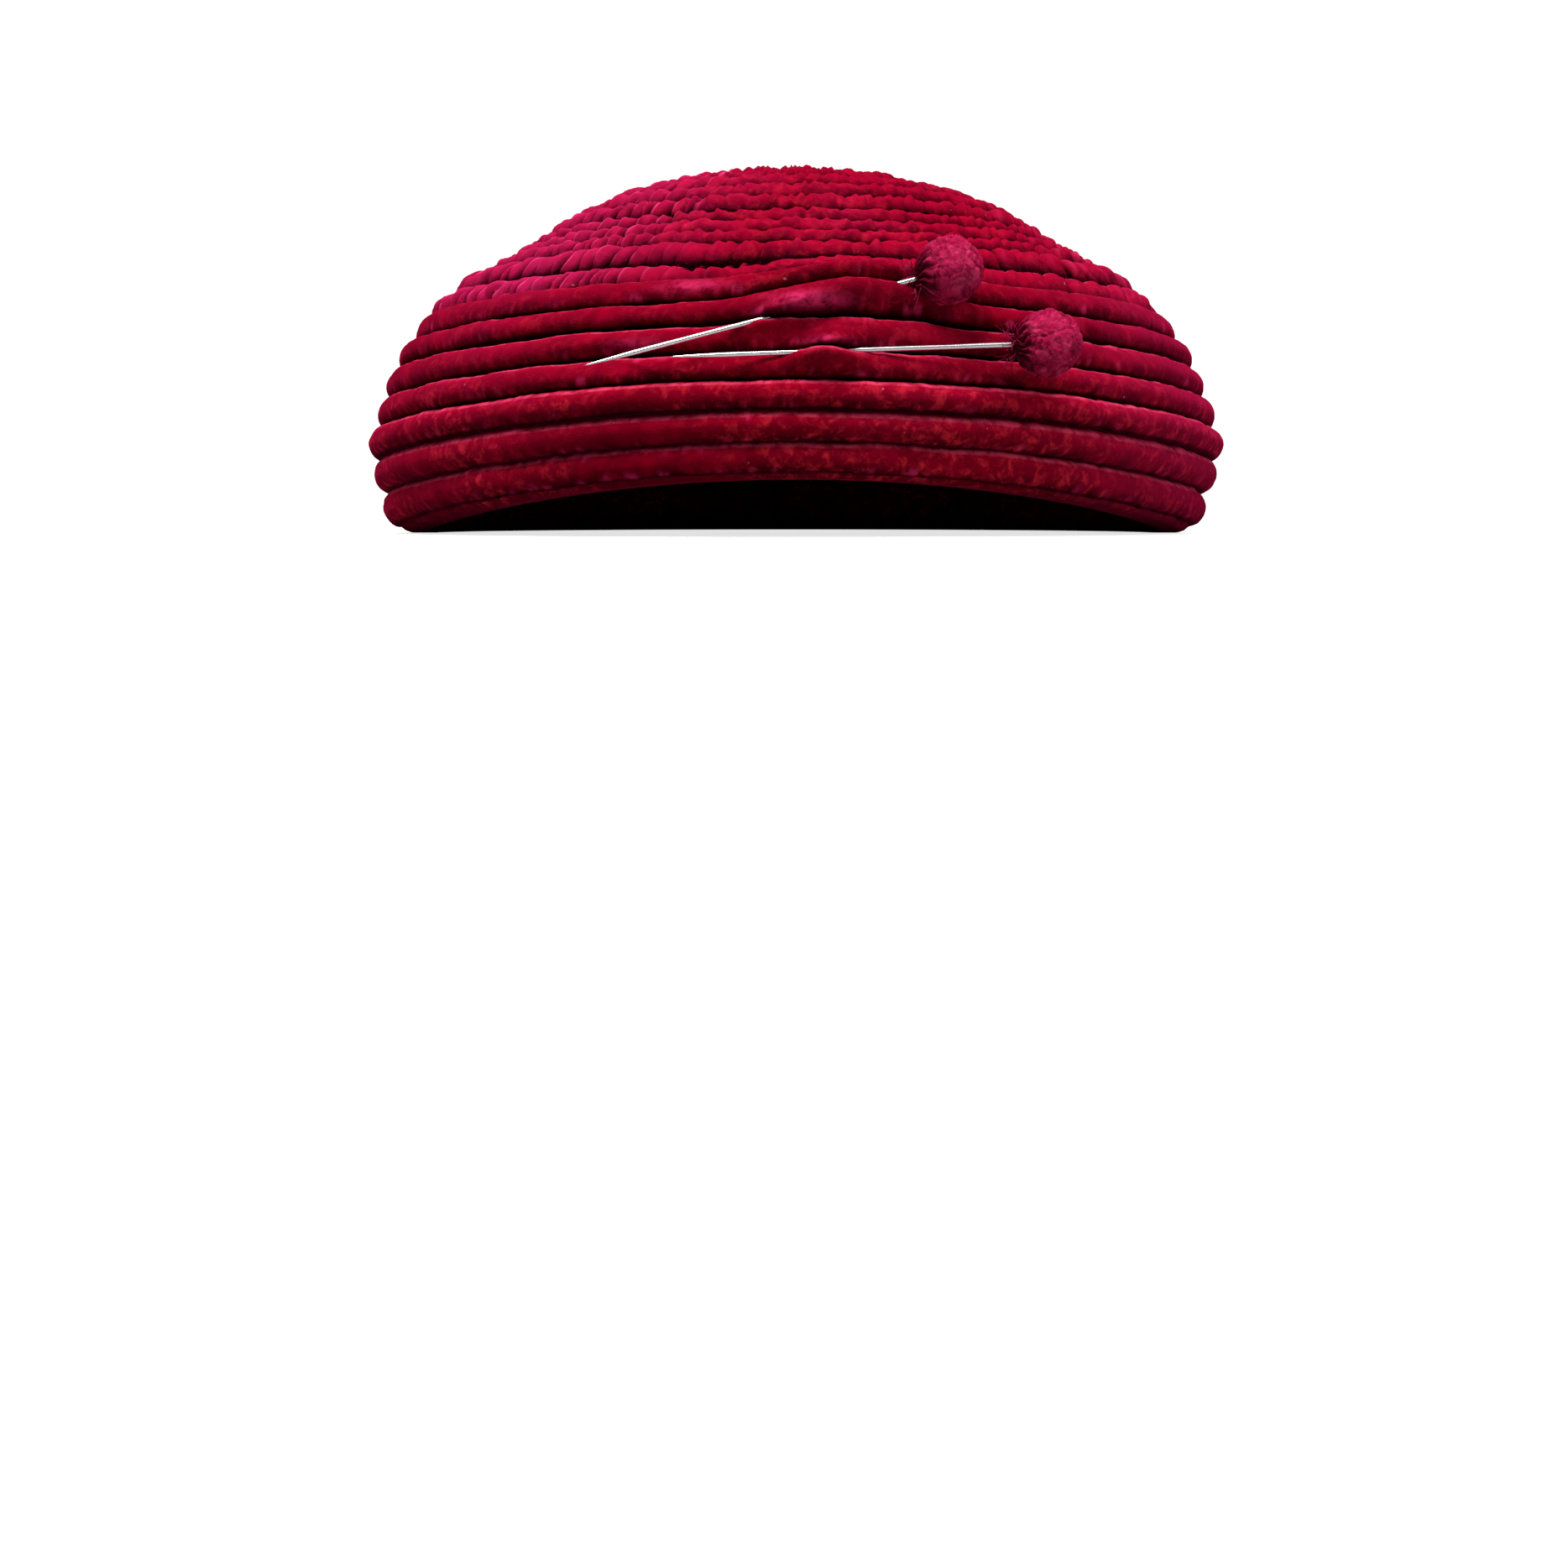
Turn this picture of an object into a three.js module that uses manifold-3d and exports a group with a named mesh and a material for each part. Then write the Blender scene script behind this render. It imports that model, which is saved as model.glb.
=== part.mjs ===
import * as THREE from "three";
import { mergeVertices } from "three/addons/utils/BufferGeometryUtils.js";
import Module from "manifold-3d";

const wasm = await Module();
wasm.setup();

// Driving dimensions in millimetres. The front faces -Y and the lower edge rests on Z = 0.
const hatWidth = 180.6; // side to side over the widest roll
const hatLength = 201.6; // front to back over the widest roll
const rollHeight = 6.4; // usual velvet-covered cord, bottom to top
const rollDepth = 5.6; // velvet-covered cord, back to crest
const seamGap = 0.3; // left between neighbouring pieces
const wallThickness = 1.5; // cloth wall that the rolls are sewn to
const crownHeight = 31.3; // dome above the top roll
const crownThickness = 1.8; // crown cloth under its grooves
const grooveDepth = 1.1; // grooves between the crown's rows
const puffHeight = 0.9; // crests of the crown's rows
const gatherDepth = 0.9; // puckers across the crown's rows
const edgeHeight = 2.6; // turned edge under the lowest roll
const facingHeight = 12; // velvet turned in behind the wall, from the rest surface up
const facingThickness = 1.2;
const frontArch = 10; // rise of the lower edge at the front
const pinLength = 64.5; // point to middle of head
const pinDiameter = 0.85;
const pointLength = 7; // ground point of a pin
const socketDepth = 5; // how deep a shaft goes into its head
const headDiameter = 12.6;
const neckDiameter = 4.4; // gathered cloth where the shaft enters a head
const neckLength = 1.2;

const roundSegments = 52;
const headSegments = 14;
const headRings = 9;
const shaftSides = 8;
const gatherCount = 13;

// Rolls from the lowest up. lean is the inward slope, in degrees, of the step from the piece below,
// and tall is the roll's height as a share of rollHeight.
const rolls = [
  { name: "band_roll_1", lean: 0, tall: 0.82 },
  { name: "band_roll_2", lean: -17, tall: 1 },
  { name: "band_roll_3", lean: -9, tall: 0.94 },
  { name: "band_roll_4", lean: 17, tall: 0.94 },
  { name: "band_roll_5", lean: 19, tall: 0.96 },
  { name: "band_roll_6", lean: 23, tall: 0.87 },
  { name: "band_roll_7", lean: 36, tall: 1.1 },
];
const crownLean = 42; // slope of the crown where it leaves the top roll, in degrees
const archShare = 1.07; // level at which the front's rise ends, as a share of the band's height

// Section of a roll: out is a share of rollDepth from its middle, up a share of its height.
const rollSection = [
  { out: 0.5, up: 0 },
  { out: 0.36, up: 0.36 },
  { out: -0.02, up: 0.5 },
  { out: -0.5, up: 0.2 },
  { out: -0.5, up: -0.2 },
  { out: -0.02, up: -0.5 },
  { out: 0.36, up: -0.36 },
];
const flatShare = 0.2; // half height of a roll's flat back, as a share of its height
const backShare = 0.5; // from a roll's middle to its flat back, as a share of rollDepth
const shoulderOut = -0.3; // where the crown leaves the top roll, as a share of rollDepth

// Grooves of the crown from its edge to its middle. reach is a share of the crown's half width,
// rise a share of its height, puff a share of puffHeight for the row outside the groove,
// gather a share of gatherDepth for that row, and shift turns its gathers by a share of one gather.
const crownRows = [
  { reach: 0.939, rise: 0.152, puff: 1.3, gather: 0.7, shift: 0.0 },
  { reach: 0.848, rise: 0.299, puff: 1.4, gather: 1.0, shift: 0.5 },
  { reach: 0.794, rise: 0.377, puff: 0.9, gather: 1.0, shift: 0.2 },
  { reach: 0.738, rise: 0.462, puff: 0.9, gather: 0.9, shift: 0.7 },
  { reach: 0.687, rise: 0.536, puff: 0.9, gather: 0.8, shift: 0.35 },
  { reach: 0.62, rise: 0.647, puff: 1.3, gather: 0.8, shift: 0.85 },
  { reach: 0.54, rise: 0.745, puff: 1.1, gather: 0.6, shift: 0.1 },
  { reach: 0.435, rise: 0.835, puff: 1.1, gather: 0.6, shift: 0.6 },
  { reach: 0.34, rise: 0.903, puff: 1.0, gather: 0.5, shift: 0.3 },
  { reach: 0.245, rise: 0.954, puff: 1.0, gather: 0.4, shift: 0.8 },
  { reach: 0.15, rise: 0.984, puff: 0.9, gather: 0.3, shift: 0.15 },
  { reach: 0.06, rise: 0.997, puff: 0.9, gather: 0.2, shift: 0.65 },
];
const innerEvery = 2; // the inside of the crown follows every second groove

// Swells and dents of the cloth. turn is the place round the hat in degrees from the front towards +X,
// level a share of the band's height, wide in degrees, tall a share of the band's height,
// and out and up are shares of rollHeight.
const swells = [
  { turn: 7, level: 0.91, wide: 11, tall: 0.15, out: 0.59, up: 0.7 },
  { turn: 3.8, level: 0.62, wide: 3.6, tall: 0.06, out: 0.4, up: 0 },
  { turn: 0.2, level: 0.8, wide: 4.2, tall: 0.05, out: 0.35, up: 0 },
  { turn: 46, level: 0.81, wide: 4, tall: 0.1, out: -0.21, up: 0 },
  { turn: -24, level: 0.62, wide: 6, tall: 0.06, out: -0.17, up: 0 },
  { turn: 19, level: 0.13, wide: 8, tall: 0.08, out: -0.19, up: 0 },
  { turn: -62, level: 0.36, wide: 12, tall: 0.3, out: 0.13, up: 0 },
  { turn: 74, level: 0.41, wide: 14, tall: 0.3, out: 0.1, up: 0 },
];

// Hatpins. side, front and level place the middle of the head as shares of the half width,
// the half length and the band's height; yaw and climb turn the pin, in degrees.
const pins = [
  { name: "upper_pin", side: 0.287, front: 0.915, level: 1.036, yaw: 7, climb: 14.8, crumple: 0.05 },
  { name: "lower_pin", side: 0.473, front: 0.933, level: 0.753, yaw: 5.7, climb: 2.4, crumple: 0.06 },
];

const velvet = new THREE.MeshStandardMaterial({ color: 0x8a0a28, roughness: 0.95, metalness: 0 });
const crownVelvet = new THREE.MeshStandardMaterial({ color: 0x960c2a, roughness: 0.95, metalness: 0 });
const turnedVelvet = new THREE.MeshStandardMaterial({ color: 0x6a0620, roughness: 0.97, metalness: 0 });
const wallCloth = new THREE.MeshStandardMaterial({ color: 0x560c1a, roughness: 0.9, metalness: 0 });
const headVelvet = new THREE.MeshStandardMaterial({ color: 0x96183c, roughness: 0.9, metalness: 0 });
const steel = new THREE.MeshStandardMaterial({ color: 0xb4b2ae, roughness: 0.3, metalness: 1 });

// A point on a leaning piece: out and up are measured square to and along its lean.
function leaning(centre, degrees, out, up) {
  const lean = THREE.MathUtils.degToRad(degrees);
  return new THREE.Vector2(
    centre.x + out * Math.cos(lean) - up * Math.sin(lean),
    centre.y + out * Math.sin(lean) + up * Math.cos(lean),
  );
}

// Middle and tilt of each roll in the half section, with the widest roll at hatWidth / 2.
function stackRolls() {
  const leans = [...rolls.map((roll) => roll.lean), crownLean];
  const stack = [];
  let below = { centre: new THREE.Vector2(0, edgeHeight), height: 0 };
  rolls.forEach((roll, i) => {
    const height = roll.tall * rollHeight;
    const pitch = (below.height + height) / 2 + seamGap;
    const centre = leaning(below.centre, roll.lean, 0, pitch);
    below = { name: roll.name, centre, height, tilt: (leans[i] + leans[i + 1]) / 2 };
    stack.push(below);
  });
  const widest = Math.max(...stack.map((roll) => leaning(roll.centre, roll.tilt, rollDepth / 2, 0).x));
  stack.forEach((roll) => (roll.centre.x += hatWidth / 2 - widest));
  return stack;
}

const stack = stackRolls();
const lowestRoll = stack[0];
const topRoll = stack[stack.length - 1];
const bandHeight = leaning(topRoll.centre, topRoll.tilt, 0, topRoll.height / 2).y;
const wallOffset = backShare * rollDepth + seamGap; // from a roll's middle back to the wall

// Moves a point of the round half section to its place on the oval, arched and swollen hat.
// give says how much of the swells it takes, from 0 at the wall to 1 at a crest.
function place(point, give) {
  const turn = Math.atan2(point.x, -point.y);
  let radius = Math.hypot(point.x, point.y);
  let height = point.z;
  const facing = Math.max(0, Math.cos(turn));
  const low = Math.max(0, 1 - point.z / (archShare * bandHeight));
  height += frontArch * facing * facing * low;
  swells.forEach((swell) => {
    const across = THREE.MathUtils.radToDeg(turn) - swell.turn;
    const along = point.z / bandHeight - swell.level;
    const share = give * Math.exp(-((across / swell.wide) ** 2) - (along / swell.tall) ** 2);
    radius += swell.out * rollHeight * share;
    height += swell.up * rollHeight * share;
  });
  return new THREE.Vector3(
    radius * Math.sin(turn),
    (-radius * Math.cos(turn) * hatLength) / hatWidth,
    height,
  );
}

// Keeps only positions and welds them, and drops the faces that collapse at a pole.
function weld(geometry) {
  geometry.deleteAttribute("normal");
  geometry.deleteAttribute("uv");
  const welded = mergeVertices(geometry, 1e-4);
  const kept = [];
  const index = welded.index.array;
  for (let i = 0; i < index.length; i += 3) {
    const [a, b, c] = [index[i], index[i + 1], index[i + 2]];
    if (a !== b && b !== c && c !== a) kept.push(a, b, c);
  }
  welded.setIndex(kept);
  return welded;
}

function toSolid(geometry) {
  const welded = weld(geometry);
  return new wasm.Manifold(
    new wasm.Mesh({
      numProp: 3,
      vertProperties: welded.attributes.position.array,
      triVerts: new Uint32Array(welded.index.array),
    }),
  );
}

function toGeometry(solid) {
  const mesh = solid.getMesh();
  const geometry = new THREE.BufferGeometry();
  geometry.setAttribute("position", new THREE.BufferAttribute(mesh.vertProperties, 3));
  geometry.setIndex(new THREE.BufferAttribute(mesh.triVerts, 1));
  geometry.computeVertexNormals();
  return geometry;
}

// Turns a half section about Z, lets pucker move its points, and places them on the hat.
function turned(profile, gives, pucker) {
  const geometry = new THREE.LatheGeometry(profile, roundSegments);
  geometry.rotateX(Math.PI / 2);
  const positions = geometry.attributes.position;
  const point = new THREE.Vector3();
  for (let i = 0; i < positions.count; i++) {
    point.fromBufferAttribute(positions, i);
    const step = i % profile.length;
    if (pucker) pucker(point, step);
    const placed = place(point, gives[step]);
    positions.setXYZ(i, placed.x, placed.y, placed.z);
  }
  return toSolid(geometry);
}

function rollSolid(roll) {
  const profile = rollSection.map((p) =>
    leaning(roll.centre, roll.tilt, p.out * rollDepth, p.up * roll.height),
  );
  profile.push(profile[0].clone());
  const gives = [...rollSection, rollSection[0]].map((p) => p.out + backShare);
  return turned(profile, gives);
}

// Grooves of the crown's base line, from the top roll to the middle.
function crownGrooves() {
  const grooves = crownRows.map(
    (row) => new THREE.Vector2(row.reach * topRoll.centre.x, bandHeight + row.rise * crownHeight),
  );
  const start = new THREE.Vector2(topRoll.centre.x, bandHeight);
  const pole = new THREE.Vector2(0, bandHeight + crownHeight);
  return [start, ...grooves, pole];
}

function outwards(from, to) {
  const step = to.clone().sub(from).normalize();
  return new THREE.Vector2(step.y, -step.x);
}

// A point on the line of the wall, set back from a roll's middle; grown moves it up past the wall's top.
function behindRoll(roll, back, grown) {
  const up = roll === topRoll ? flatShare * roll.height : 0;
  return leaning(roll.centre, roll.tilt, -wallOffset - back, up + grown);
}

// The cloth wall that the rolls are sewn to, up to the middle of the top one.
function wallSolid() {
  const bottom = edgeHeight + seamGap;
  const outer = stack.map((roll) => behindRoll(roll, 0, 0));
  const inner = stack
    .filter((roll, i) => i % innerEvery === 0)
    .reverse()
    .map((roll) => behindRoll(roll, wallThickness, 0));
  const foot = new THREE.Vector2(wallFoot(), bottom);
  const innerFoot = new THREE.Vector2(wallFoot() - wallThickness, bottom);
  const profile = [foot, ...outer, ...inner, innerFoot, foot.clone()];
  return turned(profile, profile.map(() => 0));
}

// The crown's velvet in one piece: a shirred dome, open inside, that sits on the wall.
function crownSolid() {
  const grooves = crownGrooves();
  const last = grooves.length - 1;
  const outer = [
    behindRoll(topRoll, 0, seamGap),
    leaning(topRoll.centre, topRoll.tilt, shoulderOut * rollDepth, topRoll.height / 2 + seamGap),
  ];
  const crests = new Map();
  crownRows.forEach((row, i) => {
    const normal = outwards(grooves[i], grooves[i + 1]);
    const middle = grooves[i].clone().lerp(grooves[i + 1], 0.5);
    crests.set(outer.length, row);
    outer.push(middle.addScaledVector(normal, row.puff * puffHeight));
    outer.push(grooves[i + 1].clone().addScaledVector(normal, -grooveDepth));
  });
  outer.push(grooves[last].clone());

  const inner = [grooves[last].clone().sub(new THREE.Vector2(0, grooveDepth + crownThickness))];
  for (let i = last - innerEvery; i > 0; i -= innerEvery) {
    const normal = outwards(grooves[i - 1], grooves[i + 1]);
    inner.push(grooves[i].clone().addScaledVector(normal, -grooveDepth - crownThickness));
  }
  inner.push(behindRoll(topRoll, wallThickness, seamGap));

  const profile = [...outer, ...inner, outer[0].clone()];
  const gives = profile.map((point, step) => (step > 1 && step < outer.length ? 1 : 0));
  gives[1] = shoulderOut + backShare;
  const gather = (point, step) => {
    const row = crests.get(step);
    if (!row) return;
    const turn = Math.atan2(point.x, -point.y);
    const wave = Math.cos(gatherCount * turn + 2 * Math.PI * row.shift);
    const side = 0.4 + 0.6 * Math.abs(Math.sin(turn));
    point.z -= row.gather * gatherDepth * side * (0.5 - 0.5 * wave);
  };
  return turned(profile, gives, gather);
}

// Outer radius of the wall at its foot, behind the lowest roll.
function wallFoot() {
  return lowestRoll.centre.x - wallOffset - seamGap;
}

// The turned edge under the lowest roll and the velvet folded up inside the wall.
function facingSolid() {
  const back = wallFoot() - wallThickness - seamGap;
  const front = back - facingThickness;
  const bend = lowestRoll.centre.y;
  const slope = Math.tan(THREE.MathUtils.degToRad(-stack[1].tilt));
  const spread = Math.max(0, facingHeight - bend) * slope;
  const edge = lowestRoll.centre.x;
  const profile = [
    new THREE.Vector2(front, 0),
    new THREE.Vector2(edge - 0.6 * edgeHeight, 0),
    new THREE.Vector2(edge + 0.12 * edgeHeight, 0.5 * edgeHeight),
    new THREE.Vector2(edge, edgeHeight),
    new THREE.Vector2(back, edgeHeight),
    new THREE.Vector2(back, bend),
    new THREE.Vector2(back + spread, facingHeight),
    new THREE.Vector2(front + spread, facingHeight),
    new THREE.Vector2(front, bend),
  ];
  profile.push(profile[0].clone());
  const gives = profile.map(() => 0);
  return turned(profile, gives);
}

// A half section turned about the X axis, which is the axis of a pin.
function spun(profile, sides) {
  return new THREE.LatheGeometry(profile, sides).rotateZ(-Math.PI / 2);
}

// Shaft of a pin: its point at -pinLength and its blunt end in the head.
function shaftGeometry() {
  const radius = pinDiameter / 2;
  const end = socketDepth - headDiameter / 2;
  return spun(
    [
      new THREE.Vector2(0, -pinLength),
      new THREE.Vector2(radius * 0.6, pointLength * 0.35 - pinLength),
      new THREE.Vector2(radius, pointLength - pinLength),
      new THREE.Vector2(radius, end),
      new THREE.Vector2(0, end),
    ],
    shaftSides,
  );
}

// Ball with a neck on the shaft's side, grown all round by a clearance.
function headGeometry(clearance) {
  const radius = headDiameter / 2 + clearance;
  const neck = neckDiameter / 2 + clearance;
  const foot = -headDiameter / 2 - neckLength - clearance;
  const profile = [new THREE.Vector2(0, foot), new THREE.Vector2(neck, foot)];
  const startAngle = Math.asin(neck / radius);
  for (let i = 0; i < headRings; i++) {
    const angle = THREE.MathUtils.lerp(startAngle, Math.PI, i / headRings);
    profile.push(new THREE.Vector2(radius * Math.sin(angle), -radius * Math.cos(angle)));
  }
  profile.push(new THREE.Vector2(0, radius));
  return spun(profile, headSegments);
}

// Covered head with a socket for its shaft, creased by waves that follow its crumpled cloth.
function headSolid(crumple) {
  const radius = headDiameter / 2;
  const geometry = headGeometry(0);
  const positions = geometry.attributes.position;
  const point = new THREE.Vector3();
  for (let i = 0; i < positions.count; i++) {
    point.fromBufferAttribute(positions, i);
    const turn = Math.atan2(point.z, point.y);
    const along = (point.x / radius) * Math.PI;
    const across = Math.hypot(point.y, point.z) / radius;
    const crease = Math.sin(3 * turn + along) + 0.6 * Math.cos(5 * turn - 2 * along);
    point.multiplyScalar(1 - crumple * across * (0.5 + 0.5 * crease));
    positions.setXYZ(i, point.x, point.y, point.z);
  }
  const socketLength = 2 * socketDepth;
  const socket = new THREE.CylinderGeometry(
    pinDiameter / 2 + seamGap,
    pinDiameter / 2 + seamGap,
    socketLength,
    shaftSides,
  );
  socket.rotateZ(-Math.PI / 2);
  socket.translate(seamGap + socketDepth - radius - socketLength / 2, 0, 0);
  return toSolid(geometry).subtract(toSolid(socket));
}

// Room that a pin takes in the cloth: a tunnel for its shaft and a hollow for its head.
function pinRoom(group) {
  const radius = pinDiameter / 2 + seamGap;
  const tunnel = new THREE.CylinderGeometry(radius, radius, pinLength, shaftSides);
  tunnel.rotateZ(-Math.PI / 2);
  tunnel.translate(-pinLength / 2, 0, 0);
  tunnel.applyMatrix4(group.matrixWorld);
  const hollow = headGeometry(seamGap);
  hollow.applyMatrix4(group.matrixWorld);
  return toSolid(tunnel).add(toSolid(hollow));
}

function addMesh(parent, name, geometry, material) {
  const mesh = new THREE.Mesh(geometry, material);
  mesh.name = name;
  parent.add(mesh);
}

function pinGroup(pin) {
  const group = new THREE.Group();
  group.position.set(
    (pin.side * hatWidth) / 2,
    (-pin.front * hatLength) / 2,
    pin.level * bandHeight,
  );
  group.rotation.order = "ZYX";
  group.rotation.z = THREE.MathUtils.degToRad(pin.yaw);
  group.rotation.y = THREE.MathUtils.degToRad(-pin.climb);
  addMesh(group, `${pin.name}_shaft`, toGeometry(toSolid(shaftGeometry())), steel);
  addMesh(group, `${pin.name}_head`, toGeometry(headSolid(pin.crumple)), headVelvet);
  group.updateMatrixWorld(true);
  return group;
}

const hat = new THREE.Group();
const pinGroups = pins.map(pinGroup);
const room = pinGroups.map(pinRoom).reduce((all, one) => all.add(one));

addMesh(hat, "crown", toGeometry(crownSolid().subtract(room)), crownVelvet);
addMesh(hat, "side_wall", toGeometry(wallSolid().subtract(room)), wallCloth);
stack.forEach((roll) => addMesh(hat, roll.name, toGeometry(rollSolid(roll).subtract(room)), velvet));
addMesh(hat, "rim_facing", toGeometry(facingSolid().subtract(room)), turnedVelvet);
pinGroups.forEach((group) => hat.add(group));

export default hat;
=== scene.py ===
import math

import bpy
import numpy as np
from mathutils import Matrix, Vector


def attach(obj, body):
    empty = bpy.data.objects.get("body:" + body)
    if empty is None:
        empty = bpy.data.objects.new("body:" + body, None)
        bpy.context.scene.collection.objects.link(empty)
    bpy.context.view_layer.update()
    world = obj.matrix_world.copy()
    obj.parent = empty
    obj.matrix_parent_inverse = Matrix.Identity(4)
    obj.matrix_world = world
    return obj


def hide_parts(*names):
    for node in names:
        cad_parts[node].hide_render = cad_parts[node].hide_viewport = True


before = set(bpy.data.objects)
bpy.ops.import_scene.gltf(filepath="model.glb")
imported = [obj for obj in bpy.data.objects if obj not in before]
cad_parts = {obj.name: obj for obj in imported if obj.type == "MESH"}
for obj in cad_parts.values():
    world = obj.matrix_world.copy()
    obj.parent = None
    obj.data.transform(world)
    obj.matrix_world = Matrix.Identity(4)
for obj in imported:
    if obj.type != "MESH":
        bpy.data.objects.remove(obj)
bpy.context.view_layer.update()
mm = 0.001
fullTurn = 2 * math.pi
print("frame loaded")

# The hat's own sizes, as in the model: lengths in millimetres, leans in degrees. The front faces -Y.
hat = {
    "width": 180.6,
    "length": 201.6,
    "rollHeight": 6.4,
    "rollDepth": 5.6,
    "seamGap": 0.3,
    "wallThickness": 1.5,
    "crownHeight": 31.3,
    "crownThickness": 1.8,
    "grooveDepth": 1.1,
    "puffHeight": 0.9,
    "edgeHeight": 2.6,
    "facingHeight": 12,
    "facingThickness": 1.2,
    "frontArch": 10,
    "archShare": 1.07,
    "rollLeans": [0, -17, -9, 17, 19, 23, 36],
    "rollShares": [0.82, 1, 0.94, 0.94, 0.96, 0.87, 1.1],
    # how strongly each roll's cloth is puckered
    "rollPuckers": [1.8, 1.2, 1.3, 0.8, 0.8, 0.9, 1.0],
    "crownLean": 42,
    "flatShare": 0.2,
    "backShare": 0.5,
}

# Swells and dents of the cloth. turn and wide are in degrees from the front towards +X, level and tall
# are shares of the band's height, out and up are shares of a roll's height, slant is how far a swell
# runs sideways, in degrees for the whole height of the band, and least is how much the seams take of it.
swellColumns = ("turn", "level", "wide", "tall", "out", "up", "slant", "least")
swellTable = [
    (7, 0.91, 11, 0.15, 0.59, 0.7, 0, 0),
    (3.8, 0.62, 3.6, 0.06, 0.4, 0, 0, 0),
    (0.2, 0.8, 4.2, 0.05, 0.35, 0, 0, 0),
    (46, 0.81, 4, 0.1, -0.21, 0, 0, 0),
    (-24, 0.62, 6, 0.06, -0.17, 0, 0, 0),
    (19, 0.13, 8, 0.08, -0.19, 0, 0, 0),
    (-62, 0.36, 12, 0.3, 0.13, 0, 0, 0),
    (74, 0.41, 14, 0.3, 0.1, 0, 0, 0),
    (38.5, 0.84, 1.1, 0.12, -0.16, 0, -26, 0),
    (-20, 0.57, 1.6, 0.05, -0.14, 0.05, -60, 0),
    (-12, 0.5, 5, 0.05, 0.1, 0, 0, 0),
    (27, 0.42, 5, 0.06, -0.09, 0, 0, 0),
    (3.4, 0.63, 3.2, 0.075, 0.4, 0.1, 20, 1),
    (-2.6, 0.776, 3.4, 0.055, 0.44, 0.06, 40, 1),
]
swells = [dict(zip(swellColumns, row)) for row in swellTable]

# Places on the front where the pile is worn pale, partly a painted highlight: middle and half width in
# millimetres, and how much.
rubbedAndLitPatches = [
    {"x": 2, "z": 39.8, "wide": 5.5, "tall": 1.3, "share": 1},
    {"x": -18, "z": 43.4, "wide": 5, "tall": 1, "share": 0.6},
    {"x": 5, "z": 32.6, "wide": 4, "tall": 1, "share": 0.35},
    {"x": -28, "z": 33, "wide": 4, "tall": 1, "share": 0.35},
]


def stackRolls():
    # Middle, height and tilt of each roll in the half section, with the widest roll at half the width.
    leans = hat["rollLeans"] + [hat["crownLean"]]
    x, z, below = 0.0, hat["edgeHeight"], 0.0
    rolls = []
    for i, share in enumerate(hat["rollShares"]):
        height = share * hat["rollHeight"]
        pitch = (below + height) / 2 + hat["seamGap"]
        angle = math.radians(leans[i])
        x -= pitch * math.sin(angle)
        z += pitch * math.cos(angle)
        tilt = (leans[i] + leans[i + 1]) / 2
        rolls.append({"name": f"band_roll_{i + 1}", "x": x, "z": z, "height": height, "tilt": tilt})
        below = height
    widest = max(r["x"] + hat["rollDepth"] / 2 * math.cos(math.radians(r["tilt"])) for r in rolls)
    for roll in rolls:
        roll["x"] += hat["width"] / 2 - widest
    return rolls


def leaning(roll, out, up):
    angle = math.radians(roll["tilt"])
    return np.array([
        roll["x"] + out * math.cos(angle) - up * math.sin(angle),
        roll["z"] + out * math.sin(angle) + up * math.cos(angle),
    ])


rolls = stackRolls()
topRoll = rolls[-1]
bandHeight = leaning(topRoll, 0, topRoll["height"] / 2)[1]
archLevel = hat["archShare"] * bandHeight
wallOffset = hat["backShare"] * hat["rollDepth"] + hat["seamGap"]
wallFoot = rolls[0]["x"] - wallOffset - hat["seamGap"]


def place(radius, turn, z, give):
    # Moves points of the round half section to their place on the arched and swollen oval, in metres.
    facing = np.maximum(0, np.cos(turn))
    low = np.maximum(0, 1 - z / archLevel)
    height = z + hat["frontArch"] * facing ** 2 * low
    grown = radius + 0 * turn
    degrees = np.degrees(turn)
    for swell in swells:
        along = z / bandHeight - swell["level"]
        across = degrees - swell["turn"] - swell["slant"] * along
        taken = np.maximum(give, swell["least"])
        share = taken * np.exp(-((across / swell["wide"]) ** 2) - (along / swell["tall"]) ** 2)
        grown = grown + swell["out"] * hat["rollHeight"] * share
        height = height + swell["up"] * hat["rollHeight"] * share
    points = [grown * np.sin(turn), -grown * np.cos(turn) * hat["length"] / hat["width"], height + 0 * turn]
    return np.stack(points, -1) * mm


noiseKeys = (73856093, 19349663, 83492791)
noiseSize = 4096


def lattice(points, seed):
    # Smooth value noise from 0 to 1 at points of any shape, one cell to a unit.
    table = np.random.default_rng(seed).random(noiseSize)
    cell = np.floor(points).astype(np.int64)
    part = points - cell
    part = part * part * (3 - 2 * part)
    total = np.zeros(points.shape[:-1])
    for corner in np.ndindex(2, 2, 2):
        index = cell + np.array(corner)
        first, second, third = (index[..., axis] * noiseKeys[axis] for axis in range(3))
        key = first ^ second ^ third
        weight = np.prod(np.where(np.array(corner) == 1, part, 1 - part), axis=-1)
        total += weight * table[key & (noiseSize - 1)]
    return total


def ringNoise(turn, across, size, seed):
    # Noise that closes round the hat. turn is in radians, across and size in millimetres.
    reach = hat["width"] / 2 / size
    parts = np.broadcast_arrays(reach * np.cos(turn), reach * np.sin(turn), across / size)
    return 2 * lattice(np.stack(parts, -1) + 40.0, seed) - 1


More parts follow.
